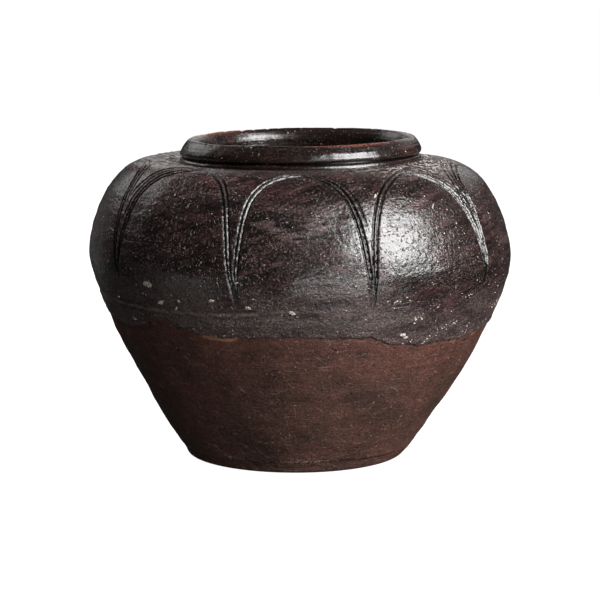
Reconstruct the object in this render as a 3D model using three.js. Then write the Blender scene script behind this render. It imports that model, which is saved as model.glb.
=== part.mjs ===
// Wide-bellied storage jar with a rolled rim: clay rings stacked on a base disc, with glaze over the upper
// half, over the rim and inside. Millimetres, +Z up, standing on Z = 0, centred on the Z axis.
// Outlines are drawn in (radius, height) and turned about the axis.
import {
  CubicBezierCurve,
  CurvePath,
  EllipseCurve,
  Group,
  LatheGeometry,
  LineCurve,
  Mesh,
  MeshStandardMaterial,
  Path,
  Vector2,
} from 'three';

// Finished jar
const MAX_DIAMETER = 400;
const HEIGHT = 302;
const WALL = 9;
const FLOOR = 11;
const GLAZE = 0.8;

// Every two pieces stand this far apart, so that each stays its own solid
const GAP = 0.3;
const GLAZE_STAND = GAP + GLAZE;

// Clay wall
const BASE_RADIUS = 103.5;
const BASE_EDGE_ROUND = 4;
const FOOT_RADIUS = 121;
const FOOT_HEIGHT = 27;
const WALL_START_ANGLE = 58.5 * Math.PI / 180;
const BELLY_RADIUS = MAX_DIAMETER / 2 - GLAZE_STAND;
const BELLY_HEIGHT = 195;
const SHELF_HEIGHT = 280;
const SHELF_RADIUS = 138.5;

// Distances up the wall's outer face from the bottom edge, as a tape would measure them
const FOOT_SEAM = 46;
const GLAZE_LINE = 162;
const MIDDLE_SEAM = 190;
const SHOULDER_SEAM = 272;

// Neck and rolled rim, in clay
const NECK_RADIUS = 98.6;
const BEAD_RADIUS = 113.4;
const BEAD_HEIGHT = 282;
const GROOVE_RADIUS = 110;
const GROOVE_HEIGHT = 285.9;
const GROOVE_ROUND = 1.6;
const ROLL_RADIUS = 113.2;
const ROLL_HEIGHT = 289;
const CREST_RADIUS = 104.8;
const CREST_HEIGHT = HEIGHT - GLAZE_STAND;
const NECK_TOP = 291;
const NECK_FOOT = SHELF_HEIGHT - WALL;

const ROUND_SEGMENTS = 48;

const bodyClay = new MeshStandardMaterial({ color: 0x5b3a30, roughness: 0.85, metalness: 0 });
const rimClay = new MeshStandardMaterial({ color: 0x543428, roughness: 0.8, metalness: 0 });
const darkGlaze = new MeshStandardMaterial({ color: 0x1c1412, roughness: 0.2, metalness: 0 });
const linerGlaze = new MeshStandardMaterial({ color: 0x2a1a14, roughness: 0.3, metalness: 0 });

const at = (radius, height) => new Vector2(radius, height);

// Joins curves end to end. Each is stepped into equal lengths, and every solid cut from the outline has its
// corners at these stops, so faces that lie one over the other stay parallel.
function outline(steppedCurves, seams) {
  const path = new CurvePath();
  const stops = [0, ...seams];
  const curveEnds = [];
  let length = 0;
  for (const [curve, steps] of steppedCurves) {
    path.add(curve);
    for (let step = 1; step <= steps; step++) {
      stops.push(length + curve.getLength() * step / steps);
    }
    length += curve.getLength();
    curveEnds.push(length);
  }
  stops.sort((a, b) => a - b);
  return { path, stops, curveEnds, length };
}

// The point a distance along an outline, moved out from the clay by an offset (in, when negative).
function beside({ path, length }, distance, offset) {
  const share = Math.min(distance / length, 1);
  const point = path.getPoint(share);
  const along = path.getTangent(share);
  return at(point.x + along.y * offset, point.y - along.x * offset);
}

// The stretch of an outline from one distance to another, moved by an offset.
function stretch(line, from, to, offset) {
  const between = line.stops.filter((stop) => stop > from + GAP && stop < to - GAP);
  return [from, ...between, to].map((distance) => beside(line, distance, offset));
}

// The two faces of a layer between an inner and an outer offset.
function layer(line, from, to, inside, outside) {
  return [...stretch(line, from, to, outside), ...stretch(line, from, to, inside).reverse()];
}

function closed(points) {
  return [...points, points[0].clone()];
}

function turned(name, profile, material) {
  const geometry = new LatheGeometry(profile, ROUND_SEGMENTS);
  geometry.rotateX(Math.PI / 2);
  const mesh = new Mesh(geometry, material);
  mesh.name = name;
  return mesh;
}

// Outer face of the clay wall: a straight foot band, the swelling wall, the shoulder and the flat shelf at
// the foot of the neck.
function wallOutline() {
  const foot = at(FOOT_RADIUS, FOOT_HEIGHT);
  const belly = at(BELLY_RADIUS, BELLY_HEIGHT);
  const shelf = at(SHELF_RADIUS, SHELF_HEIGHT);
  const startReach = 30;
  const start = at(
    FOOT_RADIUS + startReach * Math.cos(WALL_START_ANGLE),
    FOOT_HEIGHT + startReach * Math.sin(WALL_START_ANGLE),
  );
  const underBelly = at(BELLY_RADIUS, BELLY_HEIGHT - 43);
  const overBelly = at(BELLY_RADIUS, BELLY_HEIGHT + 26);
  const shoulder = at(SHELF_RADIUS + 40, SHELF_HEIGHT);
  return outline([
    [new LineCurve(at(BASE_RADIUS, 0), foot), 1],
    [new CubicBezierCurve(foot, start, underBelly, belly), 8],
    [new CubicBezierCurve(belly, overBelly, shoulder, shelf), 7],
    [new LineCurve(shelf, at(BEAD_RADIUS + GAP, SHELF_HEIGHT)), 1],
  ], [FOOT_SEAM, GLAZE_LINE, MIDDLE_SEAM, SHOULDER_SEAM]);
}

// Clay face of the neck and rim, from the foot of the bead, round the groove over it, over the rolled rim
// and down inside the neck.
function rimOutline() {
  const beadFoot = at(BEAD_RADIUS, SHELF_HEIGHT + GAP);
  const beadSide = at(BEAD_RADIUS, BEAD_HEIGHT);
  const grooveFoot = at(GROOVE_RADIUS, GROOVE_HEIGHT - GROOVE_ROUND);
  const grooveTop = at(GROOVE_RADIUS, GROOVE_HEIGHT + GROOVE_ROUND);
  const roll = at(ROLL_RADIUS, ROLL_HEIGHT);
  const crest = at(CREST_RADIUS, CREST_HEIGHT);
  const neck = at(NECK_RADIUS, NECK_TOP);
  return outline([
    [new LineCurve(beadFoot, beadSide), 1],
    [new CubicBezierCurve(beadSide, at(BEAD_RADIUS, BEAD_HEIGHT + 1.5), at(GROOVE_RADIUS + 1.5, grooveFoot.y),
      grooveFoot), 2],
    [new EllipseCurve(GROOVE_RADIUS, GROOVE_HEIGHT, GROOVE_ROUND, GROOVE_ROUND, -Math.PI / 2, Math.PI / 2, true),
      4],
    [new CubicBezierCurve(grooveTop, at(GROOVE_RADIUS + 1.8, grooveTop.y), at(ROLL_RADIUS, ROLL_HEIGHT - 0.8),
      roll), 2],
    [new CubicBezierCurve(roll, at(ROLL_RADIUS, ROLL_HEIGHT + 3), at(CREST_RADIUS + 2.6, CREST_HEIGHT), crest), 4],
    [new CubicBezierCurve(crest, at(CREST_RADIUS - 2.4, CREST_HEIGHT), at(NECK_RADIUS, NECK_TOP + 4), neck), 4],
    [new LineCurve(neck, at(NECK_RADIUS, NECK_FOOT)), 1],
  ], []);
}

const wall = wallOutline();
const rim = rimOutline();
const [, beadEnd, grooveEnd, , , neckTop] = rim.curveEnds;
const grooveBottom = (beadEnd + grooveEnd) / 2;

// How far up the straight foot band a line parallel to it, at an offset, reaches a height.
function bandDistance(height, offset) {
  const band = Math.hypot(FOOT_RADIUS - BASE_RADIUS, FOOT_HEIGHT);
  return (height * band + offset * (FOOT_RADIUS - BASE_RADIUS)) / FOOT_HEIGHT;
}

function baseDisc() {
  const top = beside(wall, bandDistance(FLOOR, 0), 0);
  const edgeEnd = beside(wall, BASE_EDGE_ROUND, 0);
  const profile = new Path();
  profile.moveTo(0, 0);
  profile.lineTo(BASE_RADIUS - BASE_EDGE_ROUND, 0);
  profile.quadraticCurveTo(BASE_RADIUS, 0, edgeEnd.x, edgeEnd.y);
  profile.lineTo(top.x, top.y);
  profile.lineTo(0, FLOOR);
  return turned('base_disc', profile.getPoints(3), bodyClay);
}

// The foot wall's lower edge is flat, because it stands on the base disc.
function footWall() {
  const outside = stretch(wall, bandDistance(FLOOR + GAP, 0), FOOT_SEAM - GAP / 2, 0);
  const inside = stretch(wall, bandDistance(FLOOR + GAP, -WALL), FOOT_SEAM - GAP / 2, -WALL);
  return turned('foot_wall', closed([...outside, ...inside.reverse()]), bodyClay);
}

function wallRing(name, from, to) {
  return turned(name, closed(layer(wall, from + GAP / 2, to - GAP / 2, -WALL, 0)), bodyClay);
}

function neckCollar() {
  const outside = stretch(rim, 0, grooveBottom - GAP / 2, 0);
  const profile = [
    at(BEAD_RADIUS, NECK_FOOT),
    ...outside,
    at(NECK_RADIUS, GROOVE_HEIGHT - GAP / 2),
    at(NECK_RADIUS, NECK_FOOT),
  ];
  return turned('neck_collar', closed(profile), rimClay);
}

function rimRoll() {
  const profile = [
    ...stretch(rim, grooveBottom + GAP / 2, neckTop, 0),
    at(NECK_RADIUS, GROOVE_HEIGHT + GAP / 2),
  ];
  return turned('rim_roll', closed(profile), rimClay);
}

function bodyGlaze() {
  const profile = layer(wall, GLAZE_LINE, wall.length - GLAZE_STAND, GAP, GLAZE_STAND);
  return turned('body_glaze', closed(profile), darkGlaze);
}

function rimGlaze() {
  return turned('rim_glaze', closed(layer(rim, 0, rim.length, GAP, GLAZE_STAND)), darkGlaze);
}

// A liner over the floor, up the inside of the wall and under the neck's lower edge.
function innerGlaze() {
  const underNeck = at(NECK_RADIUS - GLAZE_STAND, 0);
  const side = (offset, floor, ceiling) => [
    at(0, floor),
    ...stretch(wall, bandDistance(floor, -offset), wall.length, -offset),
    at(underNeck.x, ceiling),
  ];
  const outer = side(WALL + GAP, FLOOR + GAP, NECK_FOOT - GAP);
  const inner = side(WALL + GLAZE_STAND, FLOOR + GLAZE_STAND, NECK_FOOT - GLAZE_STAND);
  return turned('inner_glaze', [...outer, ...inner.reverse()], linerGlaze);
}

const jar = new Group();
jar.name = 'storage_jar';
jar.add(
  baseDisc(),
  footWall(),
  wallRing('lower_wall', FOOT_SEAM, MIDDLE_SEAM),
  wallRing('belly_wall', MIDDLE_SEAM, SHOULDER_SEAM),
  wallRing('shoulder_wall', SHOULDER_SEAM, wall.length),
  neckCollar(),
  rimRoll(),
  bodyGlaze(),
  rimGlaze(),
  innerGlaze(),
);

export default jar;
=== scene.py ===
"""A dark-glazed storage jar: its hand-worked surface, its glaze and clay, and the studio it stands in.

Each clay ring and each coat of glaze is a closed skin turned about the jar's axis, laid out on a flat
sheet first and then moved on to the jar. Only the kiln grit is made of loose grains. The jar's lengths are
in millimetres until a mesh is made, and the studio's are in metres. Azimuth 0 is the side that faces the
camera, and it grows towards +X.
"""

import math

import bmesh
import bpy
import numpy as np
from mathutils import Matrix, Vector
from mathutils.kdtree import KDTree


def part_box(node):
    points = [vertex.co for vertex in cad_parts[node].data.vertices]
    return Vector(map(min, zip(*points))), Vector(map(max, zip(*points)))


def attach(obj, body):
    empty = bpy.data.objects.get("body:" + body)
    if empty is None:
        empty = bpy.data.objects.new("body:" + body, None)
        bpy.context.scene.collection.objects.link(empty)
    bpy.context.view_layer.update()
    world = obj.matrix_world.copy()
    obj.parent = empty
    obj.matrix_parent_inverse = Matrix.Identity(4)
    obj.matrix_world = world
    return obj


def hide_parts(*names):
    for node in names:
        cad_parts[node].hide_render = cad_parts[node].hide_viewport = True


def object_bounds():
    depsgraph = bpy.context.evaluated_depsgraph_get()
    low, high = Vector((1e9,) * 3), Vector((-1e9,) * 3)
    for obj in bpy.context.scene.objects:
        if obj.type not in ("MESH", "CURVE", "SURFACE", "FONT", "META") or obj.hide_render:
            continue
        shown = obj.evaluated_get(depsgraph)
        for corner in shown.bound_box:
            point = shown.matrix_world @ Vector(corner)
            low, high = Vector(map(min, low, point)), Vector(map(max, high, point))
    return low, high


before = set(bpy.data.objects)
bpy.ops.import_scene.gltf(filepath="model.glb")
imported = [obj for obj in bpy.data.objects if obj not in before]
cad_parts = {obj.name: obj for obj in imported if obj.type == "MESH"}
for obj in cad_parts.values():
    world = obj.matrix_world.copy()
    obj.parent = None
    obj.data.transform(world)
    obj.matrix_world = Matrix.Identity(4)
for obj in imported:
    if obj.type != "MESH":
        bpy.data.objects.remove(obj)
cad_low, cad_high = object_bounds()

MM = 0.001


# ------------ sizes

def radius_of(node):
    """Outer radius of a turned CAD node."""
    low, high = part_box(node)
    return (high.x - low.x) / 2 / MM


def bottom_of(node):
    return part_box(node)[0].z / MM


def top_of(node):
    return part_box(node)[1].z / MM


GAP = bottom_of("foot_wall") - top_of("base_disc")
FLOOR = top_of("base_disc")
BELLY_RADIUS = radius_of("belly_wall")
GLAZE_STAND = radius_of("body_glaze") - BELLY_RADIUS
SHELF_HEIGHT = top_of("shoulder_wall")
NECK_FOOT = bottom_of("neck_collar")
WALL = SHELF_HEIGHT - NECK_FOOT
BEAD_RADIUS = radius_of("neck_collar")
ROLL_RADIUS = radius_of("rim_roll")
CREST_HEIGHT = top_of("rim_roll")

# The CAD outline's other points, which no node's box gives
BASE_RADIUS = 103.5
BASE_EDGE_ROUND = 4
FOOT = (121, 27)
WALL_START_ANGLE = math.radians(58.5)
BELLY_HEIGHT = 195
SHELF_RADIUS = 138.5
BEAD_HEIGHT = 282
GROOVE = (110, 285.9)
GROOVE_ROUND = 1.6
ROLL_HEIGHT = 289
CREST_RADIUS = 104.8
NECK_RADIUS = 98.6
NECK_TOP = 291

# Seams between the clay rings, as distances up the wall's outer face. The skins almost touch there,
# because the real joints are worked over.
FOOT_SEAM = 46
MIDDLE_SEAM = 190
SHOULDER_SEAM = 272
TOUCH = 0.04

# Where the outside glaze's rows start, before they follow its uneven edge
GLAZE_START = 163


# ------------ outlines

CURVE_POINTS = 400
STRAIGHT_POINTS = 60


def bezier(start, near_start, near_end, end):
    t = np.linspace(0, 1, CURVE_POINTS)[:, None]
    start, near_start, near_end, end = (np.array(p, float) for p in (start, near_start, near_end, end))
    return (
        (1 - t) ** 3 * start
        + 3 * (1 - t) ** 2 * t * near_start
        + 3 * (1 - t) * t**2 * near_end
        + t**3 * end
    )


def straight(start, end):
    return np.linspace(start, end, STRAIGHT_POINTS)


def half_turn(centre, radius):
    """A half circle round a groove's bottom, from below its centre, in towards the axis, to above it."""
    angle = np.linspace(-math.pi / 2, -3 * math.pi / 2, STRAIGHT_POINTS)
    return np.column_stack([centre[0] + radius * np.cos(angle), centre[1] + radius * np.sin(angle)])


class Outline:
    """A path in (radius, height), looked up by the distance along it and by how far out from it."""

    def __init__(self, *stretches):
        points = np.vstack([stretches[0], *(stretch[1:] for stretch in stretches[1:])])
        steps = np.diff(points, axis=0)
        lengths = np.hypot(steps[:, 0], steps[:, 1])
        self.points = points
        self.distances = np.concatenate([[0], np.cumsum(lengths)])
        self.length = self.distances[-1]
        along = np.gradient(points, self.distances, axis=0)
        along /= np.linalg.norm(along, axis=1)[:, None]
        self.outward = np.column_stack([along[:, 1], -along[:, 0]])

    def at(self, distance, offset):
        """Radius and height of the point a distance along and an offset out."""
        radius, height, radius_out, height_out = (
            np.interp(distance, self.distances, table) for table in (*self.points.T, *self.outward.T)
        )
        return radius + offset * radius_out, height + offset * height_out

    def distance_at_height(self, height):
        """Distance of a height below the shelf, where the path only rises."""
        rising = self.points[:, 1] < SHELF_HEIGHT - 0.5
        return np.interp(height, self.points[rising, 1], self.distances[rising])


def wall_outline():
    """The clay wall's outer face: straight foot band, swelling wall, shoulder and flat shelf."""
    start_reach = 30
    start = (
        FOOT[0] + start_reach * math.cos(WALL_START_ANGLE),
        FOOT[1] + start_reach * math.sin(WALL_START_ANGLE),
    )
    under_belly = (BELLY_RADIUS, BELLY_HEIGHT - 43)
    belly = (BELLY_RADIUS, BELLY_HEIGHT)
    over_belly = (BELLY_RADIUS, BELLY_HEIGHT + 26)
    shoulder = (SHELF_RADIUS + 40, SHELF_HEIGHT)
    shelf = (SHELF_RADIUS, SHELF_HEIGHT)
    return Outline(
        straight((BASE_RADIUS, 0), FOOT),
        bezier(FOOT, start, under_belly, belly),
        bezier(belly, over_belly, shoulder, shelf),
        straight(shelf, (BEAD_RADIUS + GAP, SHELF_HEIGHT)),
    )


def rim_outline():
    """The clay face of bead, groove, rolled rim and neck, from the bead's foot round to the neck's."""
    groove_foot = (GROOVE[0], GROOVE[1] - GROOVE_ROUND)
    groove_top = (GROOVE[0], GROOVE[1] + GROOVE_ROUND)
    bead = (BEAD_RADIUS, BEAD_HEIGHT)
    roll = (ROLL_RADIUS, ROLL_HEIGHT)
    crest = (CREST_RADIUS, CREST_HEIGHT)
    neck = (NECK_RADIUS, NECK_TOP)
    return Outline(
        straight((BEAD_RADIUS, SHELF_HEIGHT + GAP), bead),
        bezier(bead, (BEAD_RADIUS, BEAD_HEIGHT + 1.5), (GROOVE[0] + 1.5, groove_foot[1]), groove_foot),
        half_turn(GROOVE, GROOVE_ROUND),
        bezier(groove_top, (GROOVE[0] + 1.8, groove_top[1]), (ROLL_RADIUS, ROLL_HEIGHT - 0.8), roll),
        bezier(roll, (ROLL_RADIUS, ROLL_HEIGHT + 3), (CREST_RADIUS + 2.6, CREST_HEIGHT), crest),
        bezier(crest, (CREST_RADIUS - 2.4, CREST_HEIGHT), (NECK_RADIUS, NECK_TOP + 4), neck),
        straight(neck, (NECK_RADIUS, NECK_FOOT)),
    )


WALL_LINE = wall_outline()
RIM_LINE = rim_outline()
RIM_CREST = RIM_LINE.distances[np.argmax(RIM_LINE.points[:, 1])]


# ------------ hand-worked surface

def smooth_step(value, low, high):
    share = np.clip((value - low) / (high - low), 0, 1)
    return share * share * (3 - 2 * share)


def bell(value, width):
    """1 where value is 0, falling away smoothly on both sides over about a width."""
    return np.exp(-((value / width) ** 2))


RIPPLE_WAVES = 14
RIPPLE_PEAK = 1.6  # how far the waves' sum swings, measured in its own root mean square


def ripple(points, wavelength, seed, stretch=(1, 1, 1)):
    """A smooth random field over points, about -1 to 1, whose swells are about a wavelength apart."""
    rng = np.random.default_rng(seed)
    total = np.zeros(points.shape[:-1])
    for _ in range(RIPPLE_WAVES):
        direction = rng.normal(size=3)
        direction *= rng.uniform(0.7, 1.4) / np.linalg.norm(direction)
        phase = rng.uniform(0, 2 * math.pi)
        total += np.cos(points @ (direction / np.array(stretch)) * (2 * math.pi / wavelength) + phase)
    return total / math.sqrt(RIPPLE_WAVES / 2) / RIPPLE_PEAK


def eased(value, places, amounts):
    """A smooth run through amounts, each at its own place."""
    places, amounts = np.array(places, float), np.array(amounts, float)
    before = np.clip(np.searchsorted(places, value) - 1, 0, len(places) - 2)
    share = smooth_step(value, places[before], places[before + 1])
    return amounts[before] + share * (amounts[before + 1] - amounts[before])


def turned_points(azimuth, radius, height):
    return np.stack([radius * np.sin(azimuth), -radius * np.cos(azimuth), height], axis=-1)


# The glaze's lower edge: azimuth in degrees, height. Round the back it carries on in the same way.
GLAZE_EDGE = (
    (-180, 146), (-120, 150), (-85, 142), (-58, 136), (-48, 144), (-44, 151), (-39, 152), (-37, 145),
    (-26, 138), (-20, 138), (0, 140), (20, 138), (26, 131), (35, 127), (42, 127), (58, 126), (90, 134),
    (130, 148), (180, 146),
)
# The edge's smaller waves: how tall, how far apart, and a seed
EDGE_RIPPLES = ((0.6, 41, 3), (0.5, 13, 4), (0.5, 4.2, 5))


def glaze_edge(azimuth):
    """Distance up the wall of the glaze's lower edge."""
    degrees, heights = zip(*GLAZE_EDGE)
    height = np.interp(np.degrees(azimuth), degrees, heights)
    circle = turned_points(azimuth, np.full_like(azimuth, BELLY_RADIUS), np.zeros_like(azimuth))
    for tall, apart, seed in EDGE_RIPPLES:
        height = height + tall * ripple(circle, apart, seed)
    return WALL_LINE.distance_at_height(height)


# Feet of the incised arcade: azimuth, height, and then the leg to its left and the leg to its right, each
# with how far it leans in, how late it turns over, and how many more comb teeth mark its upper half
ARCADE = (
    (-55.5, 177, (0.45, 14, 1), (0.12, 10, 2)),
    (-17.0, 163, (0.3, 10, 0), (0.2, 9, 0)),
    (19.0, 155, (0.32, 9, 1), (0.1, 5, 0)),
    (57.5, 172, (0.3, 6, 2), (0.1, 12, 2)),
    (100, 166, (0.25, 5, 1), (0.15, 6, 1)),
    (142, 172, (0.2, 6, 1), (0.35, 5, 2)),
    (182, 161, (0.15, 7, 0), (0.25, 5, 1)),
    (223, 174, (0.3, 5, 2), (0.2, 6, 1)),
    (264, 168, (0.25, 6, 1), (0.3, 10, 1)),
)
ARCH_TOP = 322
# A leg's comb teeth are close together at its foot and spread on the way up. The comb turns as it goes
# over the top, so there they come further apart up the wall.
FOOT_SPACING = 0.45
ADDED_SPACING = 2.6
TOP_SPACING = 5
MAIN_TEETH = 2
MAIN_DEPTH = 1.4
SPARE_DEPTH = 1.0


def arch_leg(foot, middle, lean, lateness, tooth, lowest):
    """One comb tooth's line from an arch's foot to its top: azimuth, distance, share of the way up."""
    azimuth, height = foot
    start = WALL_LINE.distance_at_height(height)
    top = ARCH_TOP + TOP_SPACING * tooth
    share = np.linspace(lowest, 1, 420)
    distance = start + share * (top - start)
    radius, _ = WALL_LINE.at(distance, 0)
    bend = (1 - lean * share) * (1 - share**lateness) ** 0.9
    side = math.copysign(1, azimuth - middle)
    spacing = FOOT_SPACING + ADDED_SPACING * smooth_step(share, -0.1, 0.5)
    apart = tooth * (1 + 0.15 * tooth) * spacing
    spread = np.degrees(apart * (1 - share**6) / radius)
    return np.radians(middle + (azimuth - middle) * bend + side * spread), distance, share


def arch_legs():
    """Each leg of the arcade: its foot, the azimuth where its arch is highest, and how it runs."""
    for number, (azimuth, height, left_leg, right_leg) in enumerate(ARCADE):
        left_gap = (azimuth - ARCADE[number - 1][0]) % 360
        right_gap = (ARCADE[(number + 1) % len(ARCADE)][0] - azimuth) % 360
        yield (azimuth, height), azimuth - left_gap / 2, left_leg
        yield (azimuth, height), azimuth + right_gap / 2, right_leg


def arch_lines():
    """Every comb line with how deep it is at each point."""
    rng = np.random.default_rng(11)
    for foot, middle, (lean, lateness, spare_teeth) in arch_legs():
        for tooth in range(MAIN_TEETH):
            azimuth, distance, share = arch_leg(foot, middle, lean, lateness, tooth, 0)
            depth = MAIN_DEPTH * smooth_step(share, 0, 0.16) * (1 + 0.4 * smooth_step(share, 0.85, 1))
            yield azimuth, distance, depth * rng.uniform(0.8, 1.1)
        for tooth in range(MAIN_TEETH, MAIN_TEETH + spare_teeth):
            lowest = rng.uniform(0.36, 0.55)
            azimuth, distance, share = arch_leg(foot, middle, lean, lateness, tooth, lowest)
            growing = smooth_step(share, lowest, lowest + 0.15)
            depth = SPARE_DEPTH * growing * (1 - 0.35 * smooth_step(share, 0.7, 1))
            yield azimuth, distance, depth * rng.uniform(0.7, 1.1)


class CombMarks:
    """The incised lines as points on the wall, for looking up how far any place is from one."""

    def __init__(self):
        places, depths = [], []
        for azimuth, distance, depth in arch_lines():
            places.append(turned_points(azimuth, *WALL_LINE.at(distance, 0)))
            depths.append(depth)
        places = np.vstack(places)
        self.depths = np.concatenate(depths)
        self.tree = KDTree(len(places))
        for index, place in enumerate(places):
            self.tree.insert(place, index)
        self.tree.balance()

    def nearest(self, points):
        """Distance to the nearest line, and that line's depth there."""
        found = [self.tree.find(point) for point in points.reshape(-1, 3)]
        away = np.array([distance for _, _, distance in found])
        depth = self.depths[[index for _, index, _ in found]]
        return away.reshape(points.shape[:-1]), depth.reshape(points.shape[:-1])


COMB = CombMarks()
LINE_HALF_WIDTH = 0.9
COMB_NEAR = (4.8, 2.3)  # the glaze's mesh is halved this near a comb line, and again this near


def comb_relief(base, away, depth):
    """A comb tooth's furrow with the crumbly clay that it pushed up on either side."""
    furrow = bell(away, LINE_HALF_WIDTH)
    burr = bell(away - 2 * LINE_HALF_WIDTH, 0.7 * LINE_HALF_WIDTH)
    crumbled = 0.11 + 0.09 * ripple(base, 6, seed=26)
    return depth * (crumbled * burr - furrow)


# The low ridge round the glaze's lower band, which wanders and dies out at the front right: azimuth in
# degrees, distance up the wall, and how strong it is
RIDGE = (
    (-180, 186, 0.8), (-90, 181, 1), (-20, 182, 1), (-5, 187, 0.9), (22, 188, 0), (110, 184, 0),
    (180, 186, 0.8),
)
RIDGE_HALF_WIDTH = 1.5
RIDGE_HEIGHT = 0.45
HOLLOW_DEPTH = 0.4


def ridge_profile(base, distance):
    """How much a place is on the ridge's crest, and how much in the hollow beside it, each up to 1."""
    azimuth = np.degrees(np.arctan2(base[..., 0], -base[..., 1]))
    places, distances, strengths = zip(*RIDGE)
    away = np.abs(distance - eased(azimuth, places, distances)) / RIDGE_HALF_WIDTH
    strength = eased(azimuth, places, strengths)
    return strength * bell(away, 1), strength * bell(away - 2.1, 0.7)


def wall_relief(base, distance):
    """How far the wall stands out: swells, throwing rings, drag marks, the ridge and the rough shelf."""
    rings = ripple(base, 60, seed=21, stretch=(9, 9, 0.22)) * 0.16
    swell = 0.6 * ripple(base, 150, seed=22) + 0.35 * ripple(base, 45, seed=23)
    drag = 0.09 * ripple(base, 16, seed=24, stretch=(2.2, 2.2, 0.5))
    crest, hollow = ridge_profile(base, distance)
    ridge = RIDGE_HEIGHT * crest - HOLLOW_DEPTH * hollow
    rough_shelf = 0.4 * ripple(base, 11, seed=25) * smooth_step(distance, 305, 340)
    end = WALL_LINE.length
    fade = smooth_step(distance, 2, 12) * (1 - smooth_step(distance, end - 10, end - 2))
    return (rings + swell + drag + ridge + rough_shelf) * fade


def rim_relief(base, distance):
    """How far the rim stands out: it wobbles, shows its turning, and is nicked on top."""
    wobble = 0.35 * ripple(base, 70, seed=31) + 0.12 * ripple(base, 14, seed=32)
    turning = 0.1 * ripple(base, 20, seed=33, stretch=(6, 6, 0.12))
    on_crest = bell(distance - RIM_CREST, 3)
    nicks = -0.6 * smooth_step(ripple(base, 7, seed=34), 0.7, 1.1) * on_crest
    return (wobble + turning + nicks) * smooth_step(distance, 0, 3)


# What the potter's uneven throwing does at each height: how far the axis wanders sideways, and how far the
# wall swells or draws in
LEAN_HEIGHTS = (0, 10, 35, 75, 130, 165, 215, 262, 302)
LEAN = (-4.4, -2.9, -2.6, 0.5, -0.2, 0.9, -0.5, -0.9, 1.2)
GIRTH_HEIGHTS = (0, 9, 20, 33, 65, 100, 125, 145, 165, 200, 302)
GIRTH = (-0.8, -1.2, -0.7, -0.1, 0.8, 1.5, 1.0, 0, -0.6, 0, 0)
SHELF_TILT = math.radians(-0.6)
RIM_TILT = math.radians(0.9)
RIM_BACK_LIFT = 0.8
TILT_START = SHELF_HEIGHT - 18


def settled(points):
    """Leans and swells the jar, and tips its shelf one way and its rim the other."""
    points = points.copy()
    radius = np.hypot(points[..., 0], points[..., 1])
    height = points[..., 2].copy()
    swell = 1 + eased(height, GIRTH_HEIGHTS, GIRTH) / np.maximum(radius, BASE_RADIUS)
    points[..., :2] *= swell[..., None]
    on_rim = 1 - smooth_step(radius, BEAD_RADIUS + 5, SHELF_RADIUS)
    slope = SHELF_TILT + (RIM_TILT - SHELF_TILT) * on_rim
    back_lift = RIM_BACK_LIFT * on_rim * smooth_step(points[..., 1], 0, BEAD_RADIUS)
    lift = slope * points[..., 0] + back_lift
    points[..., 2] += lift * smooth_step(height, TILT_START, SHELF_HEIGHT)
    points[..., 0] += eased(height, LEAN_HEIGHTS, LEAN)
    return points


# ------------ skins

def flat_sheet(columns, rows):
    """A flat mesh of squares whose corners stand at (column, row, 0)."""
    column, row = np.meshgrid(np.arange(columns + 1.0), np.arange(rows + 1.0))
    corners = np.column_stack([column.ravel(), row.ravel(), np.zeros(column.size)])
    first = (np.arange(rows)[:, None] * (columns + 1) + np.arange(columns)[None, :]).ravel()
    faces = np.column_stack([first, first + 1, first + columns + 2, first + columns + 1])
    mesh = bpy.data.meshes.new("sheet")
    mesh.from_pydata(corners, [], faces)
    sheet = bmesh.new()
    sheet.from_mesh(mesh)
    bpy.data.meshes.remove(mesh)
    return sheet


class Unrolled:
    """Where a sheet's corners lie on the jar: azimuth, distance along the outline and offset from it."""

    def __init__(self, sheet, columns, rows, outline, bend):
        corners = np.array([vertex.co[:2] for vertex in sheet.verts])
        number = np.arange(len(rows))
        distances, offsets = np.array(rows, float).T
        self.azimuth = (corners[:, 0] / columns * 2 - 1) * math.pi
        self.distance = np.interp(corners[:, 1], number, distances)
        self.offset = np.interp(corners[:, 1], number, offsets)
        if bend:
            self.distance = bend(self.azimuth, self.distance)
        self.base = turned_points(self.azimuth, *outline.at(self.distance, 0))


def halve_near_comb(sheet, place, reach):
    """Halves every edge that has both its ends on the glaze's face, within a reach of a comb line."""
    away, _ = COMB.nearest(place.base)
    near = (away < reach) & (place.offset > 0.9 * GLAZE_STAND)
    sheet.verts.index_update()
    edges = [edge for edge in sheet.edges if all(near[vertex.index] for vertex in edge.verts)]
    bmesh.ops.subdivide_edges(sheet, edges=edges, cuts=1, use_grid_fill=True)


def move_corners(sheet, points, marks):
    """Moves a sheet's corners on to the jar, and stores the marks that the material reads."""
    layers = {mark: sheet.verts.layers.float.new(mark) for mark in marks}
    for index, vertex in enumerate(sheet.verts):
        vertex.co = points[index] * MM
        for mark, layer in layers.items():
            vertex[layer] = marks[mark][index]


CUT_EDGE = math.radians(75)


def smooth_mesh(sheet, name):
    """A sheet joined up where its corners meet, as a mesh that is smooth but for its cut edges."""
    bmesh.ops.remove_doubles(sheet, verts=sheet.verts, dist=1e-6)
    bmesh.ops.triangulate(sheet, faces=sheet.faces)
    bmesh.ops.recalc_face_normals(sheet, faces=sheet.faces)
    for face in sheet.faces:
        face.smooth = True
    mesh = bpy.data.meshes.new(name)
    sheet.to_mesh(mesh)
    sheet.free()
    mesh.set_sharp_from_angle(angle=CUT_EDGE)
    return mesh


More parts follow.
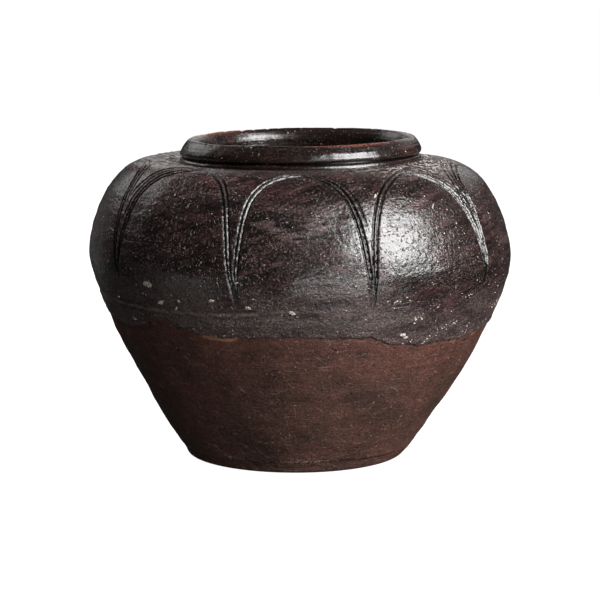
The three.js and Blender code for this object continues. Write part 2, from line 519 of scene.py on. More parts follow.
def skin(node, columns, rows, outline, shape, closed=True, bend=None, finer=()):
    """A closed skin turned about the axis, as a mesh object that stands for a CAD node.

    rows are the (distance, offset) steps of its profile, which joins up unless both ends are on the axis.
    bend moves a row's distance by azimuth. shape gives how far each corner moves out, and its marks for
    the material. finer lists how near the comb lines the sheet is halved, once for each number.
    """
    rows = rows + rows[:1] if closed else rows
    sheet = flat_sheet(columns, len(rows) - 1)
    for reach in finer:
        halve_near_comb(sheet, Unrolled(sheet, columns, rows, outline, bend), reach)
    place = Unrolled(sheet, columns, rows, outline, bend)
    moved, marks = shape(place)
    points = settled(turned_points(place.azimuth, *outline.at(place.distance, place.offset + moved)))
    move_corners(sheet, points, marks)
    piece = bpy.data.objects.new(f"{node}_skin", smooth_mesh(sheet, f"{node}_skin"))
    bpy.context.collection.objects.link(piece)
    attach(piece, "root")
    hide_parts(node)
    return piece


def steps(start, end, offset, spacing):
    """Rows from one distance to another at one offset, about a spacing apart."""
    count = max(2, round(abs(end - start) / spacing) + 1)
    return [(distance, offset) for distance in np.linspace(start, end, count)]


# ------------ pieces

# How finely the skins are made: columns round the jar, and how far apart their rows are
SEEN_COLUMNS, SEEN_STEP = 400, 2.6
COVERED_COLUMNS, COVERED_STEP = 180, 6
NECK_COLUMNS, NECK_STEP = 120, 2
GLAZE_COLUMNS, GLAZE_STEP = 390, 3.2
RIM_COLUMNS, RIM_STEP = 440, 0.9
LINER_COLUMNS, LINER_STEP = 300, 4
EDGE_STEP, RIM_BACK_STEP, BACK_STEP, COARSE_STEP = 1, 3, 8, 12

UNDERCUT = 1.3  # the clay and the glaze's back lie this much deeper under the glaze, below the comb lines


def plain(place):
    """A skin left as it was turned, without marks."""
    return np.zeros(len(place.azimuth)), {}


def wall_shape(place):
    """The clay wall: its outer face has the wall's relief, and goes under the glaze above its edge."""
    outside = place.offset > -WALL / 2
    relief = wall_relief(place.base, place.distance)
    above_edge = place.distance - glaze_edge(place.azimuth)
    covered = smooth_step(above_edge, 1, 7)
    return np.where(outside, relief - UNDERCUT * covered, 0), {"above_edge": above_edge * MM}


def band_distance(height, offset):
    """How far up the straight foot band a line parallel to it, at an offset, reaches a height."""
    run, rise = FOOT[0] - BASE_RADIUS, FOOT[1]
    return (height * math.hypot(run, rise) + offset * run) / rise


def clay_ring(node, start, end, columns, spacing, inner_start=None):
    """One ring of the clay wall. Its lower edge is square to the wall, or starts elsewhere inside."""
    inner_start = start if inner_start is None else inner_start
    rows = steps(start, end, 0, spacing) + steps(end, inner_start, -WALL, BACK_STEP)
    return skin(node, columns, rows, WALL_LINE, wall_shape)


def foot_wall():
    """The lowest ring, whose lower edge lies flat on the base."""
    outer_start, inner_start = (band_distance(FLOOR + TOUCH, offset) for offset in (0, -WALL))
    return clay_ring("foot_wall", outer_start, FOOT_SEAM, SEEN_COLUMNS, SEEN_STEP, inner_start)


def base_disc():
    """The base slab, with a rounded lower edge."""
    handle = 1.2
    edge = BASE_RADIUS - BASE_EDGE_ROUND
    band_start = WALL_LINE.at(BASE_EDGE_ROUND, 0)
    corner = WALL_LINE.at(band_distance(FLOOR, 0), 0)
    line = Outline(
        straight((0, 0), (edge, 0)),
        bezier((edge, 0), (BASE_RADIUS - handle, 0), WALL_LINE.at(handle, 0), band_start),
        straight(band_start, corner),
        straight(corner, (0, FLOOR)),
    )
    band_end = line.length - corner[0]
    underside = steps(0, edge, 0, BACK_STEP)
    side = steps(edge, band_end, 0, EDGE_STEP)[1:]
    top = steps(band_end, line.length, 0, COARSE_STEP)[1:]

    def shape(place):
        height = place.base[:, 2]
        on_band = (place.distance > edge) & (place.distance < band_end + 0.01)
        relief = wall_relief(place.base, WALL_LINE.distance_at_height(height))
        far_below = np.full(len(height), -GLAZE_START * MM)
        return np.where(on_band, relief, 0), {"above_edge": far_below}

    return skin("base_disc", SEEN_COLUMNS, underside + side + top, line, shape, closed=False)


def glaze_bend(azimuth, distance):
    """Moves the glaze's rows so that the lowest lies on its uneven edge."""
    edge = glaze_edge(azimuth)
    top = WALL_LINE.length - GLAZE_STAND
    return edge + (distance - GLAZE_START) * (top - edge) / (top - GLAZE_START)


# The glaze's rounded lower lip: distance above its edge, offset
GLAZE_LIP = ((0, 0.15), (0.3, 0.7), (1, 1.1), (2.2, 1.35))
# Where fingers wiped the glaze level while it was wet, with a painted highlight between the wiped streaks,
# and how far that reaches: degrees, then up the wall
WIPED = (-2, 262)
WIPED_REACH = (11, 17)


def glaze_marks(place, away, depth):
    """What the glaze's material reads at each corner, from its place and from its nearest comb line."""
    crest, hollow = ridge_profile(place.base, place.distance)
    wiped_across = bell(np.degrees(place.azimuth) - WIPED[0], WIPED_REACH[0])
    wiped_up = bell(place.distance - WIPED[1], WIPED_REACH[1])
    return {
        "burr": bell(away - 2 * LINE_HALF_WIDTH, LINE_HALF_WIDTH) * depth,
        "furrow": bell(away, LINE_HALF_WIDTH) * depth,
        "above_edge": (place.distance - glaze_edge(place.azimuth)) * MM,
        "ridge": crest,
        "hollow": hollow,
        # wiped also places the painted highlight between the wiped streaks
        "wiped": wiped_across * wiped_up,
        # sideways makes the shoulder's crust paler at the sides, a painted highlight
        "sideways": np.abs(np.sin(place.azimuth)),
    }


def glaze_shape(place):
    """The outside glaze: the wall's relief, with the comb lines in its face."""
    away, depth = COMB.nearest(place.base)
    comb = comb_relief(place.base, away, depth) * (place.offset > GAP)
    return wall_relief(place.base, place.distance) + comb, glaze_marks(place, away, depth)


def body_glaze():
    top = WALL_LINE.length - GLAZE_STAND
    lip = [(GLAZE_START + up, offset) for up, offset in GLAZE_LIP]
    face = steps(GLAZE_START + 4.5, top, GLAZE_STAND, GLAZE_STEP)
    back = steps(top, GLAZE_START + 8, GAP - UNDERCUT, BACK_STEP)
    rows = lip + face + back
    return skin("body_glaze", GLAZE_COLUMNS, rows, WALL_LINE, glaze_shape, bend=glaze_bend, finer=COMB_NEAR)


def rim_shape(place):
    """The rim, with marks for the crest, rubbed red-brown at the front right and at the back left."""
    along_crest = bell(place.distance - RIM_CREST, 3.5)
    degrees = np.degrees(place.azimuth)
    rubbed = sum(bell(degrees - middle, 26) for middle in (28, -125))
    return rim_relief(place.base, place.distance), {"rubbed": along_crest * rubbed}


def rim_glaze():
    face = steps(0, RIM_LINE.length, GLAZE_STAND, RIM_STEP)
    back = steps(RIM_LINE.length, 0, GAP, RIM_BACK_STEP)
    return skin("rim_glaze", RIM_COLUMNS, face + back, RIM_LINE, rim_shape)


def neck_collar():
    groove_bottom = groove_distance()
    line = Outline(
        straight((NECK_RADIUS, NECK_FOOT), (BEAD_RADIUS, NECK_FOOT)),
        straight((BEAD_RADIUS, NECK_FOOT), (BEAD_RADIUS, SHELF_HEIGHT + GAP)),
        RIM_LINE.points[RIM_LINE.distances < groove_bottom - GAP / 2],
        straight(RIM_LINE.at(groove_bottom - GAP / 2, 0), (NECK_RADIUS, GROOVE[1] - GAP / 2)),
        straight((NECK_RADIUS, GROOVE[1] - GAP / 2), (NECK_RADIUS, NECK_FOOT)),
    )
    return skin("neck_collar", NECK_COLUMNS, steps(0, line.length, 0, NECK_STEP)[:-1], line, plain)


def rim_roll():
    groove_bottom = groove_distance()
    above = (RIM_LINE.distances > groove_bottom + GAP / 2) & (RIM_LINE.points[:, 1] > GROOVE[1] + GAP / 2)
    line = Outline(
        RIM_LINE.points[above],
        straight((NECK_RADIUS, GROOVE[1] + GAP / 2), RIM_LINE.at(groove_bottom + GAP / 2, 0)),
    )
    return skin("rim_roll", NECK_COLUMNS, steps(0, line.length, 0, NECK_STEP)[:-1], line, plain)


def groove_distance():
    """Distance along the rim's outline of the bottom of the groove under the roll."""
    outer = RIM_LINE.distances < RIM_LINE.length / 2
    return RIM_LINE.distances[outer][np.argmin(RIM_LINE.points[outer, 0])]


def liner_outline():
    """The liner's inner face: over the floor, round its corner, up the wall and in under the neck."""
    face = WALL + GLAZE_STAND
    floor = FLOOR + GLAZE_STAND
    corner_run, corner_rise = 18, 14
    rise = WALL_LINE.distance_at_height(floor + corner_rise)
    corner_end = WALL_LINE.at(rise, -face)
    corner_start = (corner_end[0] - corner_run, floor)
    wall = np.column_stack(WALL_LINE.at(np.linspace(rise, WALL_LINE.length, 300), -face))
    return Outline(
        straight((0, floor), corner_start),
        bezier(corner_start, (corner_end[0] - 7, floor), (corner_end[0] - 5, floor + 1), corner_end),
        wall,
        straight(wall[-1], (NECK_RADIUS - GLAZE_STAND, NECK_FOOT - GLAZE_STAND)),
    )


def inner_glaze():
    line = liner_outline()
    back = GLAZE_STAND - GAP
    rows = steps(0, line.length, 0, LINER_STEP) + steps(line.length, 0, back, COARSE_STEP)

    def shape(place):
        rings = 0.5 * ripple(place.base, 70, seed=51, stretch=(9, 9, 0.25))
        swell = 0.5 * ripple(place.base, 90, seed=52)
        end = line.length
        fade = smooth_step(place.distance, 20, 90) * (1 - smooth_step(place.distance, end - 25, end))
        return np.where(place.offset < back / 2, -np.abs(rings + swell) * fade, 0), {}

    return skin("inner_glaze", LINER_COLUMNS, rows, line, shape, closed=False)


# Kiln grit stuck in the glaze's lower band: azimuth in degrees, height, and length of each big grain. The
# last is a pale chip higher up, beside an arch's leg.
KILN_GRIT = (
    (-43.5, 182, 12), (-46.3, 173, 4), (-40, 167, 8.5), (-33.7, 169.5, 5), (-35.3, 162, 5.5),
    (-23.7, 172.5, 6.5), (-13.8, 167.5, 6), (-2.3, 164, 7), (-16.2, 190, 4), (-60, 164, 4), (-54, 146, 6),
    (29.8, 139, 7), (31, 136.5, 5), (22.6, 262, 4.5),
)
# Where grit lies in strings: azimuth, height, length of the string, and number of grains
GRIT_STRINGS = (
    (27, 172, 18, 9), (38, 165, 14, 9), (33, 154, 16, 9), (32, 131, 15, 8), (40, 133, 20, 12),
    (47, 143, 22, 10), (55, 137, 14, 8), (71, 152, 26, 10), (52, 167, 20, 7), (-50, 142, 14, 6),
    (-22, 139, 24, 8), (-30, 143, 16, 5),
)
# How many small grains lie anywhere in the band, and how many bigger ones on the sides and the back
SCATTERED_GRAINS = 170
FAR_GRAINS = 26
BAND_FOOT, BAND_HEIGHT = 136, 52
# A string climbs as it goes round: how far for each millimetre along it, and how many of those to a degree
STRING_CLIMB = 0.3
STRING_MM_PER_DEGREE = 3.6


def grit_places(rng):
    """Azimuth in degrees, height and length of every grain."""
    scatter = [
        (rng.uniform(-180, 180), BAND_FOOT + BAND_HEIGHT * rng.uniform(0, 1) ** 1.4, rng.uniform(0.9, 2.2))
        for _ in range(SCATTERED_GRAINS)
    ]
    far = [(rng.uniform(80, 285), rng.uniform(150, 182), rng.uniform(3, 8)) for _ in range(FAR_GRAINS)]
    strings = [
        (
            degrees + along / STRING_MM_PER_DEGREE,
            height + STRING_CLIMB * along + rng.normal(0, 2.6),
            rng.uniform(0.7, 2.6),
        )
        for degrees, height, length, count in GRIT_STRINGS
        for along in rng.uniform(-length / 2, length / 2, count)
    ]
    return (*KILN_GRIT, *scatter, *far, *strings)


def on_glaze(degrees, height):
    """A place on the glaze, the way out from it, and the level way along it."""
    azimuth = math.radians((degrees + 180) % 360 - 180)
    distance = max(WALL_LINE.distance_at_height(height), glaze_edge(np.array([azimuth]))[0] + 2)
    relief = wall_relief(turned_points(azimuth, *WALL_LINE.at(distance, 0)), distance)
    place, above = (
        Vector(settled(turned_points(azimuth, *WALL_LINE.at(distance, GLAZE_STAND + relief + out))))
        for out in (0, 1)
    )
    return place, (above - place).normalized(), Vector((math.cos(azimuth), math.sin(azimuth), 0))


def add_grain(sheet, place, long_axis, up, length, rng):
    """Adds one flat, knobbly grain that lies on a surface with its long axis along a tangent."""
    across = up.cross(long_axis)
    half_length = length / 2
    half_width = length * 0.24
    half_height = min(0.7, length * 0.16)
    made = bmesh.ops.create_icosphere(sheet, subdivisions=2, radius=1)
    for vertex in made["verts"]:
        x, y, z = vertex.co * rng.uniform(0.72, 1.18)
        local = long_axis * (x * half_length) + across * (y * half_width) + up * (z * half_height)
        vertex.co = (place + local) * MM


def kiln_grit():
    """Grains that fell on the melted glaze, as one mesh."""
    rng = np.random.default_rng(61)
    sheet = bmesh.new()
    for degrees, height, length in grit_places(rng):
        place, up, level = on_glaze(degrees, height)
        turn = rng.normal(0, 0.5)
        long_axis = (level * math.cos(turn) + up.cross(level) * math.sin(turn)).normalized()
        add_grain(sheet, place, long_axis, up, length, rng)
    bmesh.ops.recalc_face_normals(sheet, faces=sheet.faces)
    mesh = bpy.data.meshes.new("kiln_grit")
    sheet.to_mesh(mesh)
    sheet.free()
    piece = bpy.data.objects.new("kiln_grit", mesh)
    bpy.context.collection.objects.link(piece)
    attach(piece, "root")
    return piece


# ------------ materials

MIX_SHARE, MIX_FIRST, MIX_SECOND, MIX_RESULT = 0, 6, 7, 2  # a mix node's sockets for colours


class Surface:
    """A Principled material, made of nodes. Its colour, in linear light, is laid on in coats."""

    def __init__(self, name):
        self.material = bpy.data.materials.new(name)
        self.material.use_nodes = True
        self.nodes = self.material.node_tree.nodes
        self.links = self.material.node_tree.links
        self.shader = self.nodes["Principled BSDF"]
        self.place = self.nodes.new("ShaderNodeTexCoord").outputs["Object"]

    def add(self, kind, inputs, output=0, **settings):
        node = self.nodes.new("ShaderNode" + kind)
        for setting, value in settings.items():
            setattr(node, setting, value)
        for socket, value in inputs.items():
            self.feed(node.inputs[socket], value)
        return node.outputs[output]

    def feed(self, socket, value):
        """Links a node's output to a socket, or sets the socket to a value or a solid colour."""
        if isinstance(value, bpy.types.NodeSocket):
            self.links.new(value, socket)
        elif socket.type == "RGBA":
            socket.default_value = (*value, 1)
        else:
            socket.default_value = value

    def set(self, **inputs):
        for socket, value in inputs.items():
            self.feed(self.shader.inputs[socket.replace("_", " ")], value)

    def blotches(self, place, scale, size, detail, rough):
        scaled = self.add("Mapping", {"Vector": place, "Scale": scale})
        inputs = {"Vector": scaled, "Scale": 1 / (size * MM), "Detail": detail, "Roughness": rough}
        return self.add("TexNoise", inputs)

    def noise(self, size, detail, rough, stretch=(1, 1, 1)):
        """Soft random blotches about a size apart, in millimetres, drawn out by a stretch."""
        return self.blotches(self.place, tuple(1 / share for share in stretch), size, detail, rough)

    def strokes(self, size, degrees):
        """Random streaks across the front, as from a wide brush, that slope at an angle from level."""
        turn = {"Vector": self.place, "Angle": math.radians(degrees)}
        turned = self.add("VectorRotate", turn, rotation_type="Y_AXIS")
        return self.blotches(turned, (0.2, 0.2, 1.6), size, 3, 0.6)

    def mark(self, name):
        """A number that the mesh stores at each corner."""
        return self.add("Attribute", {}, "Fac", attribute_name=name)

    def ramp(self, value, low, high, start=0.0, end=1.0):
        """value's way from low to high, eased, as a number from start to end."""
        inputs = {"Value": value, "From Min": low, "From Max": high, "To Min": start, "To Max": end}
        return self.add("MapRange", inputs, interpolation_type="SMOOTHSTEP")

    def math(self, operation, first, second):
        return self.add("Math", {0: first, 1: second}, operation=operation)

    def times(self, first, second):
        return self.math("MULTIPLY", first, second)

    def blend(self, share, first, second):
        """first where share is 0, and second where it is 1."""
        node = self.nodes.new("ShaderNodeMix")
        node.data_type = "RGBA"
        self.feed(node.inputs[MIX_SHARE], share)
        self.feed(node.inputs[MIX_FIRST], first)
        self.feed(node.inputs[MIX_SECOND], second)
        return node.outputs[MIX_RESULT]

    def ground(self, share, first, second):
        """The colour under every coat."""
        self.colour = self.blend(share, first, second)

    def coat(self, share, colour):
        """Lays a colour over what is there, fully where share is 1."""
        self.colour = self.blend(share, self.colour, colour)

    def specks(self, size, rarity, colour):
        """Lays on small specks of a colour, fewer of them where rarity is higher."""
        self.coat(self.ramp(self.noise(size, 1, 0.5), rarity, rarity + 0.03), colour)

    def bumps(self, *layers):
        """Each layer is a height, 0 to 1, and how high its full height stands, in millimetres."""
        normal = None
        for height, tall in layers:
            inputs = {"Height": height, "Distance": tall * MM, "Strength": 1.0}
            if normal:
                inputs["Normal"] = normal
            normal = self.add("Bump", inputs)
        self.set(Normal=normal)


def bare_clay():
    """Dark fired clay, redder just under the glaze and browner further down, scratched and pitted."""
    look = Surface("bare_clay")
    patches = look.noise(60, 5, 0.6)
    mottle = look.noise(9, 4, 0.65, stretch=(1, 1, 1.3))
    smears = look.noise(26, 4, 0.6, stretch=(3, 3, 0.2))
    grain = look.noise(1.8, 3, 0.7)
    dents = look.ramp(look.noise(3.6, 2, 0.5, stretch=(1.7, 1.7, 0.8)), 0.35, 0.29)
    level_scratches = look.noise(9, 2, 0.5, stretch=(1.8, 1.8, 0.08))
    slanting_scratches = look.strokes(3.5, -38)
    above_edge = look.mark("above_edge")
    look.ground(look.ramp(patches, 0.36, 0.66), (0.024, 0.0125, 0.0092), (0.047, 0.0185, 0.0132))
    near_glaze = look.ramp(above_edge, -70 * MM, -4 * MM, 0, 0.8)
    look.coat(look.times(near_glaze, look.ramp(smears, 0.3, 0.6)), (0.058, 0.0185, 0.0132))
    look.coat(look.ramp(smears, 0.5, 0.72, 0, 0.5), (0.021, 0.0105, 0.0075))
    look.coat(look.ramp(mottle, 0.5, 0.34, 0, 0.45), (0.016, 0.0088, 0.0068))
    look.coat(look.ramp(mottle, 0.54, 0.7, 0, 0.4), (0.072, 0.034, 0.025))
    look.coat(look.ramp(grain, 0.54, 0.68, 0, 0.6), (0.115, 0.062, 0.046))
    look.coat(look.ramp(grain, 0.46, 0.34, 0, 0.9), (0.008, 0.0042, 0.0033))
    look.coat(look.times(dents, look.ramp(patches, 0.62, 0.45, 0.1, 0.9)), (0.006, 0.0036, 0.003))
    look.specks(2.4, 0.745, (0.2, 0.15, 0.115))
    for scratches in (level_scratches, slanting_scratches):
        look.coat(look.ramp(scratches, 0.645, 0.7, 0, 0.5), (0.14, 0.088, 0.07))
    look.coat(chipped_row(look, above_edge, grain, patches), (0.17, 0.12, 0.095))
    burnt = look.times(look.ramp(above_edge, -5 * MM, -1 * MM), look.ramp(patches, 0.5, 0.58))
    look.coat(burnt, (0.18, 0.078, 0.045))
    roughness = look.ramp(patches, 0.3, 0.7, 0.5, 0.68)
    look.set(Base_Color=look.colour, Roughness=roughness, Specular_IOR_Level=0.22)
    look.bumps(
        (smears, 0.3),
        (mottle, 0.5),
        (look.noise(4, 3, 0.6), 0.5),
        (look.noise(1.3, 2, 0.6), 0.4),
        (level_scratches, 0.3),
        (dents, -0.9),
    )
    return look.material


def chipped_row(look, above_edge, grain, patches):
    """Where small chips run in a broken row round the jar's foot."""
    from_row = look.math("ABSOLUTE", look.math("ADD", above_edge, 146 * MM), 0.0)
    in_row = look.times(look.ramp(from_row, 3 * MM, 1.2 * MM), look.ramp(grain, 0.5, 0.58))
    return look.times(in_row, look.ramp(patches, 0.4, 0.55))


def brushed_coats(look, patches):
    """Near-black glaze with brown patches, brushed on in slanting strokes, which are returned."""
    strokes = look.strokes(8, 20)
    look.ground(look.ramp(patches, 0.38, 0.66), (0.0052, 0.0031, 0.0029), (0.018, 0.0082, 0.0078))
    look.coat(look.ramp(look.noise(38, 3, 0.6), 0.56, 0.7, 0, 0.6), (0.038, 0.013, 0.0122))
    look.coat(look.ramp(strokes, 0.52, 0.66, 0, 0.55), (0.04, 0.021, 0.0195))
    look.coat(look.ramp(strokes, 0.48, 0.36, 0, 0.85), (0.003, 0.0019, 0.0018))
    return strokes


def wiped_coats(look, patches):
    """Level streaks, strongest where fingers wiped the glaze, with a painted highlight between them there.
    Returns where the glaze is wiped thin.
    """
    level_strokes = look.noise(8, 3, 0.6, stretch=(3.5, 3.5, 0.6))
    where_wiped = look.math("MAXIMUM", look.ramp(patches, 0.46, 0.58, 0, 0.6), look.mark("wiped"))
    wiped = look.times(look.ramp(level_strokes, 0.51, 0.43), where_wiped)
    # Painted highlight: the glaze between the wiped streaks is painted lighter
    painted_highlight_between_wipes = look.times(look.mark("wiped"), look.ramp(level_strokes, 0.5, 0.57, 0, 0.8))
    look.coat(painted_highlight_between_wipes, (0.06, 0.041, 0.039))
    look.coat(wiped, (0.0022, 0.0016, 0.0015))
    return wiped


def speckled_coats(look, grain, drift):
    """Fine pale speckles and here and there a bright crystal, partly the glaze's own specks and partly
    painted glints, and fine dark speckles, painted shade for pits.
    """
    speckled = look.times(look.ramp(grain, 0.55, 0.66), look.ramp(drift, 0.38, 0.62, 0.2, 0.9))
    # Partly painted glints: pale speckles
    look.coat(speckled, (0.09, 0.067, 0.062))
    # Painted shade for pits: dark speckles
    look.coat(look.ramp(grain, 0.46, 0.38, 0, 0.9), (0.0022, 0.0016, 0.0015))
    # Partly painted glints: bright specks
    look.specks(2.6, 0.735, (0.26, 0.225, 0.205))


def crusted_coats(look, above_edge):
    """The cracked crust on the shoulder, with pale crystal specks that are partly painted glints, painted
    palest at the sides where the shoulder catches the light. Returns its height and its cracks.
    """
    shelf = look.ramp(above_edge, 160 * MM, 184 * MM)
    crust = look.noise(4.5, 4, 0.75)
    cracked = look.times(shelf, look.ramp(crust, 0.52, 0.44))
    look.coat(cracked, (0.003, 0.0025, 0.002))
    # Pale crystal specks, partly painted glints: a painted highlight on the crust
    crystals_and_glints = look.times(shelf, look.ramp(crust, 0.52, 0.58, 0, 0.9))
    # Painted highlight: the crust's specks are painted paler at the shoulder's sides, where it catches the
    # light
    at_sides = look.ramp(look.mark("sideways"), 0.25, 0.85, 0.1, 1.0)
    look.coat(look.times(crystals_and_glints, at_sides), (0.32, 0.27, 0.245))
    return look.times(shelf, crust), cracked


def comb_coats(look):
    """Pale burrs, partly worn and partly a painted highlight where they catch the light, and black furrows,
    painted shade, along the comb lines.
    """
    # Painted highlight, partly wear: the burrs beside the comb lines painted pale
    burr = look.ramp(look.times(look.mark("burr"), look.noise(5, 3, 0.6)), 0.25, 0.85, 0, 0.18)
    look.coat(burr, (0.075, 0.06, 0.054))
    # Painted shade: the furrows painted black
    look.coat(look.ramp(look.mark("furrow"), 0.15, 0.5), (0.002, 0.0015, 0.0015))


def low_band_coats(look, above_edge, grain, drift):
    """Dust near the glaze's lower edge, the ridge worn pale there, and painted shade in the hollow beside
    it. Returns where the glaze is low.
    """
    low = look.ramp(above_edge, 60 * MM, 22 * MM)
    dust = look.blend(look.ramp(grain, 0.42, 0.62), (0.011, 0.0066, 0.0061), (0.082, 0.055, 0.05))
    look.coat(look.times(low, look.ramp(drift, 0.34, 0.6, 0.25, 0.9)), dust)
    worn = look.times(look.ramp(look.mark("ridge"), 0.3, 0.8), look.ramp(drift, 0.3, 0.5, 0.5, 1.0))
    look.coat(worn, (0.075, 0.058, 0.053))
    # Painted shade: the hollow beside the ridge painted dark
    look.coat(look.ramp(look.mark("hollow"), 0.3, 0.9, 0, 0.8), (0.005, 0.0035, 0.0035))
    return low


def dark_glaze():
    """Near-black brown glaze with pits, crystal specks and painted glints and shade, dull near its lower
    edge and in its cracks.
    """
    look = Surface("dark_glaze")
    patches = look.noise(45, 5, 0.62)
    drift = look.noise(22, 4, 0.6, stretch=(1.6, 1.6, 0.6))
    grain = look.noise(1.7, 3, 0.75)
    above_edge = look.mark("above_edge")
    strokes = brushed_coats(look, patches)
    wiped = wiped_coats(look, patches)
    speckled_coats(look, grain, drift)
    crust_height, cracked = crusted_coats(look, above_edge)
    comb_coats(look)
    low = low_band_coats(look, above_edge, grain, drift)
    dull = look.math("MAXIMUM", look.times(low, 0.27), look.times(cracked, 0.6))
    roughness = look.math("ADD", look.ramp(drift, 0.3, 0.7, 0.14, 0.26), dull)
    look.set(Base_Color=look.colour, Roughness=roughness)
    pits = look.ramp(look.noise(2.8, 2, 0.5), 0.4, 0.32)
    look.bumps(
        (look.noise(9, 3, 0.6), 0.75),
        (look.noise(3.2, 3, 0.7), 0.48),
        (strokes, 0.35),
        (wiped, -0.35),
        (pits, -0.6),
        (crust_height, 2.6),
    )
    return look.material


def rim_glaze_look():
    """The rim's glaze: almost black, turned, grainy, with a soft red-brown patch here and there."""
    look = Surface("rim_glaze")
    patches = look.noise(38, 4, 0.6)
    turning = look.noise(7, 3, 0.6, stretch=(6, 6, 0.2))
    grain = look.noise(1.9, 3, 0.75)
    look.ground(look.ramp(turning, 0.4, 0.62), (0.003, 0.0021, 0.0019), (0.0105, 0.0058, 0.0052))
    worn = look.times(look.ramp(patches, 0.54, 0.68, 0, 0.5), look.ramp(turning, 0.35, 0.6))
    look.coat(worn, (0.04, 0.014, 0.0105))
    rubbed = look.times(look.ramp(look.mark("rubbed"), 0.15, 0.8), look.ramp(grain, 0.35, 0.55))
    look.coat(rubbed, (0.075, 0.026, 0.017))
    look.coat(look.ramp(grain, 0.55, 0.68, 0, 0.7), (0.046, 0.031, 0.026))
    look.specks(2.6, 0.735, (0.2, 0.165, 0.145))
    look.set(Base_Color=look.colour, Roughness=look.ramp(grain, 0.3, 0.7, 0.15, 0.28))
    look.bumps((turning, 0.15), (look.noise(7, 3, 0.6), 0.3), (look.noise(2.6, 3, 0.7), 0.26))
    return look.material


def liner_glaze():
    """The inside's glaze, blotched brown and black."""
    look = Surface("liner_glaze")
    patches = look.noise(34, 5, 0.65)
    grain = look.noise(1.9, 3, 0.75)
    look.ground(look.ramp(patches, 0.38, 0.62), (0.006, 0.004, 0.0035), (0.018, 0.0095, 0.0075))
    look.coat(look.ramp(grain, 0.56, 0.68, 0, 0.7), (0.075, 0.052, 0.044))
    look.set(Base_Color=look.colour, Roughness=look.ramp(patches, 0.35, 0.65, 0.18, 0.42))
    look.bumps((look.noise(9, 3, 0.6), 1.1), (look.noise(3, 3, 0.7), 0.6))
    return look.material


def pale_grit():
    """Kiln grit: pale and dull, with darker mottles."""
    look = Surface("pale_grit")
    mottle = look.noise(1.5, 3, 0.6)
    look.ground(look.ramp(mottle, 0.36, 0.58), (0.09, 0.074, 0.064), (0.34, 0.295, 0.255))
    roughness = look.ramp(mottle, 0.3, 0.7, 0.6, 0.85)
    look.set(Base_Color=look.colour, Roughness=roughness, Specular_IOR_Level=0.3)
    look.bumps((look.noise(0.8, 2, 0.6), 0.3))
    return look.material


# ------------ studio

CAMERA_PLACE = (0, -2.151, 0.4727)
CAMERA_TARGET = (0, 0, 0.146)
SENSOR_WIDTH = 36
FOCAL_LENGTH = 136.58

# Softboxes, all at one reach from the jar's middle: name, azimuth and elevation in degrees, width, height,
# watts, and whether the glaze mirrors them
SOFTBOX_REACH = 2.4
SOFTBOXES = (
    ("key", 57, 24, 1.2, 1.9, 155, True),
    ("front_key", 36, 30, 0.9, 1.3, 32, True),
    ("front_fill", 8, 24, 1.2, 0.9, 1, True),
    ("floor_bounce", 25, -16, 2.0, 0.7, 38, True),
    ("left_bounce", -60, -22, 1.2, 0.6, 2.4, True),
    ("back_left", -146, 2, 0.8, 1.4, 0.4, True),
    ("back_left_high", -135, 30, 1.2, 0.9, 5.5, True),
    ("back_right_high", 135, 30, 1.0, 0.8, 1.5, True),
    ("left_grazing", -125, 55, 1.2, 1.2, 105, False),
    ("right_grazing", 125, 55, 1.2, 1.2, 80, False),
    ("back_edge", 175, 22, 1.8, 0.8, 5, True),
    ("back_fill", -165, 12, 1.6, 1.6, 70, False),
)
AIR_LIGHT = 0.03


def aim(thing, target):
    thing.rotation_mode = "QUATERNION"
    thing.rotation_quaternion = (Vector(target) - thing.location).to_track_quat("-Z", "Y")


def camera():
    data = bpy.data.cameras.new("camera")
    data.sensor_width = SENSOR_WIDTH
    data.lens = FOCAL_LENGTH
    view = bpy.data.objects.new("camera", data)
    view.location = CAMERA_PLACE
    aim(view, CAMERA_TARGET)
    bpy.context.collection.objects.link(view)
    bpy.context.scene.camera = view


def softbox(name, azimuth, elevation, width, height, power, mirrored):
    """A rectangular light that faces the jar's middle."""
    data = bpy.data.lights.new(name, "AREA")
    data.shape = "RECTANGLE"
    data.size = width
    data.size_y = height
    data.energy = power
    light = bpy.data.objects.new(name, data)
    turn, rise = math.radians(azimuth), math.radians(elevation)
    centre = Vector((0, 0, (cad_low.z + cad_high.z) / 2))
    light.location = centre + SOFTBOX_REACH * Vector(
        (math.sin(turn) * math.cos(rise), -math.cos(turn) * math.cos(rise), math.sin(rise))
    )
    aim(light, centre)
    light.visible_camera = False
    light.visible_glossy = mirrored
    bpy.context.collection.objects.link(light)


def turned_mesh(name, line, rings, sides):
    """A mesh of squares turned from an outline that starts at the axis."""
    radius, height = line.at(np.linspace(0, line.length, rings), 0)
    azimuth, row = np.meshgrid(np.linspace(0, 2 * math.pi, sides + 1)[:-1], np.arange(rings))
    points = turned_points(azimuth, radius[row], height[row]).reshape(-1, 3)
    faces = []
    for ring in range(rings - 1):
        below, above = ring * sides, (ring + 1) * sides
        for side in range(sides):
            after = (side + 1) % sides
            faces.append((below + side, below + after, above + after, above + side))
    mesh = bpy.data.meshes.new(name)
    mesh.from_pydata(points * MM, [], faces)
    mesh.shade_smooth()
    return mesh


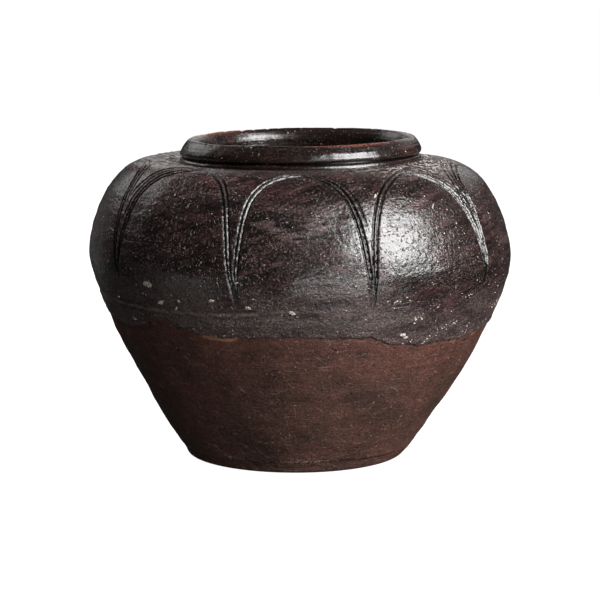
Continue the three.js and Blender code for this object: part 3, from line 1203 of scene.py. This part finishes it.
def backdrop():
    """A pale floor that sweeps up into a pale dome, lit by itself so that it is even all round."""
    flat, rise = 6000, 3000
    wall = flat + 2 * rise
    line = Outline(
        straight((0, 0), (flat, 0)),
        bezier((flat, 0), (flat + rise, 0), (wall, rise), (wall, 3 * rise)),
        bezier((wall, 3 * rise), (wall, 6 * rise), (flat, 7 * rise), (0, 7 * rise)),
    )
    mesh = turned_mesh("backdrop", line, rings=60, sides=96)
    floor = bpy.data.objects.new("backdrop", mesh)
    look = Surface("pale_backdrop")
    look.set(Base_Color=(0.08, 0.08, 0.08), Roughness=1.0, Specular_IOR_Level=0.0)
    look.set(Emission_Color=(1, 1, 1), Emission_Strength=1.0)
    mesh.materials.append(look.material)
    for ray in ("visible_diffuse", "visible_glossy", "visible_shadow", "visible_transmission"):
        setattr(floor, ray, False)
    bpy.context.collection.objects.link(floor)


def studio_air():
    """A faint even light from all round."""
    world = bpy.data.worlds.new("studio")
    world.use_nodes = True
    air = world.node_tree.nodes["Background"]
    air.inputs["Color"].default_value = (1, 1, 1, 1)
    air.inputs["Strength"].default_value = AIR_LIGHT
    bpy.context.scene.world = world


# ------------ the scene

def finished(piece, material):
    piece.data.materials.append(material)


def main():
    clay = bare_clay()
    glaze = dark_glaze()
    for piece in (
        base_disc(),
        foot_wall(),
        clay_ring("lower_wall", FOOT_SEAM + TOUCH, MIDDLE_SEAM, SEEN_COLUMNS, SEEN_STEP),
        clay_ring("belly_wall", MIDDLE_SEAM + TOUCH, SHOULDER_SEAM, COVERED_COLUMNS, COVERED_STEP),
        clay_ring("shoulder_wall", SHOULDER_SEAM + TOUCH, WALL_LINE.length, COVERED_COLUMNS, COVERED_STEP),
    ):
        finished(piece, clay)
    finished(neck_collar(), clay)
    finished(rim_roll(), clay)
    finished(body_glaze(), glaze)
    finished(rim_glaze(), rim_glaze_look())
    finished(inner_glaze(), liner_glaze())
    finished(kiln_grit(), pale_grit())
    backdrop()
    studio_air()
    for box in SOFTBOXES:
        softbox(*box)
    camera()
    bpy.context.scene.view_settings.view_transform = "Standard"


main()
